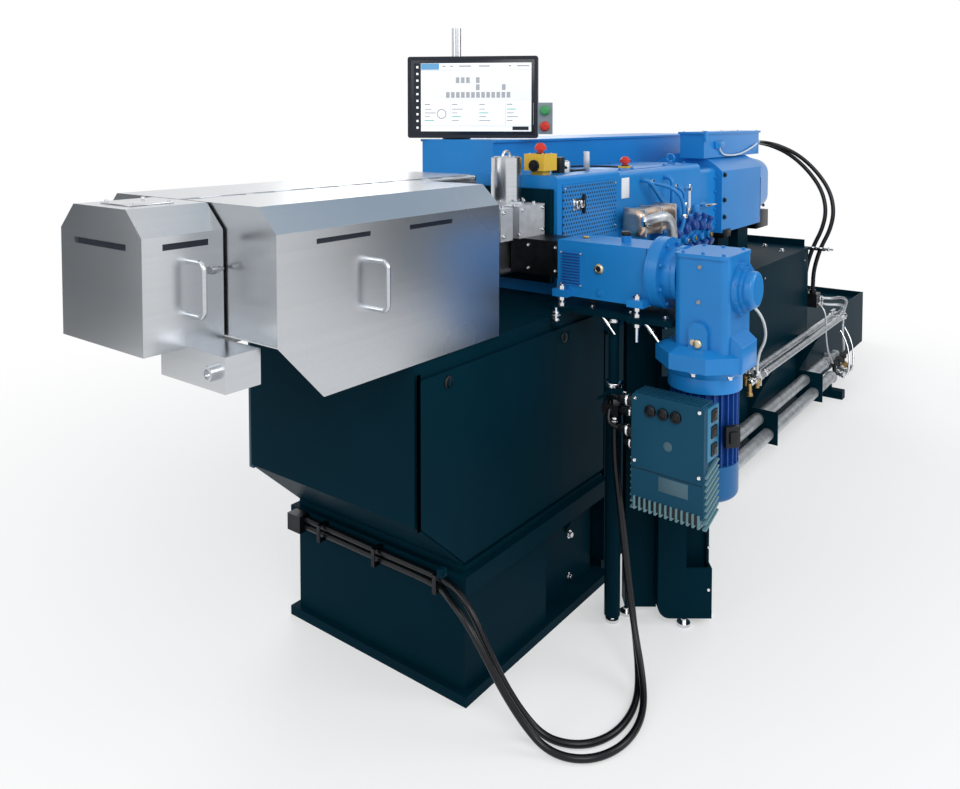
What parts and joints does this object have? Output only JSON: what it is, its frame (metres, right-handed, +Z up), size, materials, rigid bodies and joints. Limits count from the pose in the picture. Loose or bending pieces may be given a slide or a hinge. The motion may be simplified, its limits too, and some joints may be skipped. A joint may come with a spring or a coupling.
{
  "type": "plastic extruder",
  "caption": "Plastic extruder with hinged stainless hoods, a side feeder, a blue drive train, a swivelling operator screen and dark base cabinets.",
  "frame": {"origin": "floor level, below the crossing of the screw axis and the side feeder's axis", "axes": "+X along the screws from the discharge end to the drive end, +Z up, -Y towards the side feeder"},
  "size_m": [5.698, 1.5953, 2.05],
  "materials": {
    "black_steel": "satin black",
    "blue_paint": "gloss machine enamel",
    "dark_paint": "satin petrol powder coat",
    "galvanised": "galvanised",
    "red_plastic": "gloss",
    "rubber": "matt",
    "screen_plastic": "satin",
    "stainless": "brushed",
    "white_hose": "milky tube",
    "yellow_plastic": "gloss"
  },
  "bodies": {
    "machine": {"adapter_housing": "blue_paint", "barrel": "stainless", "barrel_supports": "stainless", "base_frame": "dark_paint", "bevel_gearbox": "blue_paint", "cable_duct": "blue_paint", "cable_fittings": "black_steel", "carriage_rods": "stainless", "cover_floor": "stainless", "cover_handles": "stainless", "die_head": "stainless", "discharge_cover": "stainless", "drain_hose": "white_hose", "drive_consoles": "dark_paint", "duct_posts": "dark_paint", "feed_cover": "stainless", "feed_cylinder": "stainless", "feeder_barrel": "black_steel", "feeder_cable_inner": "rubber", "feeder_cable_outer": "rubber", "feeder_carriage": "dark_paint", "feeder_gearbox": "blue_paint", "feeder_motor": "blue_paint", "feeder_stand": "dark_paint", "front_cabinet": "dark_paint", "gearbox": "blue_paint", "guide_post": "dark_paint", "hood_frame": "stainless", "hose_fittings": "black_steel", "inverter_box": "dark_paint", "lantern": "blue_paint", "lantern_guards": "blue_paint", "lower_box": "stainless", "lower_pipes": "galvanised", "main_motor": "blue_paint", "oil_pump": "stainless", "pedestal": "dark_paint", "pipe_brackets": "dark_paint", "pipe_valves": "galvanised", "rear_box": "dark_paint", "rear_hose_far": "rubber", "rear_hose_near": "rubber", "return_hose": "white_hose", "screen_foot": "black_steel", "shield_plate": "dark_paint", "side_panels": "dark_paint", "stand_feet": "stainless", "stop_boxes": "yellow_plastic", "stop_buttons": "red_plastic", "terminal_box": "blue_paint", "upper_pipes": "galvanised", "valve_manifold": "galvanised"},
    "near_hood": {"near_hood": "stainless", "near_hood_handle": "stainless"},
    "far_hood": {"far_hood": "stainless", "far_hood_handle": "stainless"},
    "screen": {"screen_post": "stainless", "screen_housing": "screen_plastic", "button_station": "screen_plastic"}
  },
  "joints": [
    {"name": "near_hood_hinge", "type": "hinge", "parent": "machine", "child": "near_hood", "pos_m": [-0.9, -0.009, 1.452], "axis": [-1, 0, 0], "range_deg": [0, 70]},
    {"name": "far_hood_hinge", "type": "hinge", "parent": "machine", "child": "far_hood", "pos_m": [-0.73, 0.009, 1.452], "axis": [1, 0, 0], "range_deg": [0, 70]},
    {"name": "screen_swivel", "type": "hinge", "parent": "machine", "child": "screen", "pos_m": [0.392, 0.52, 1.7], "axis": [0, 0, 1], "range_deg": [-40, 40]}
  ]
}
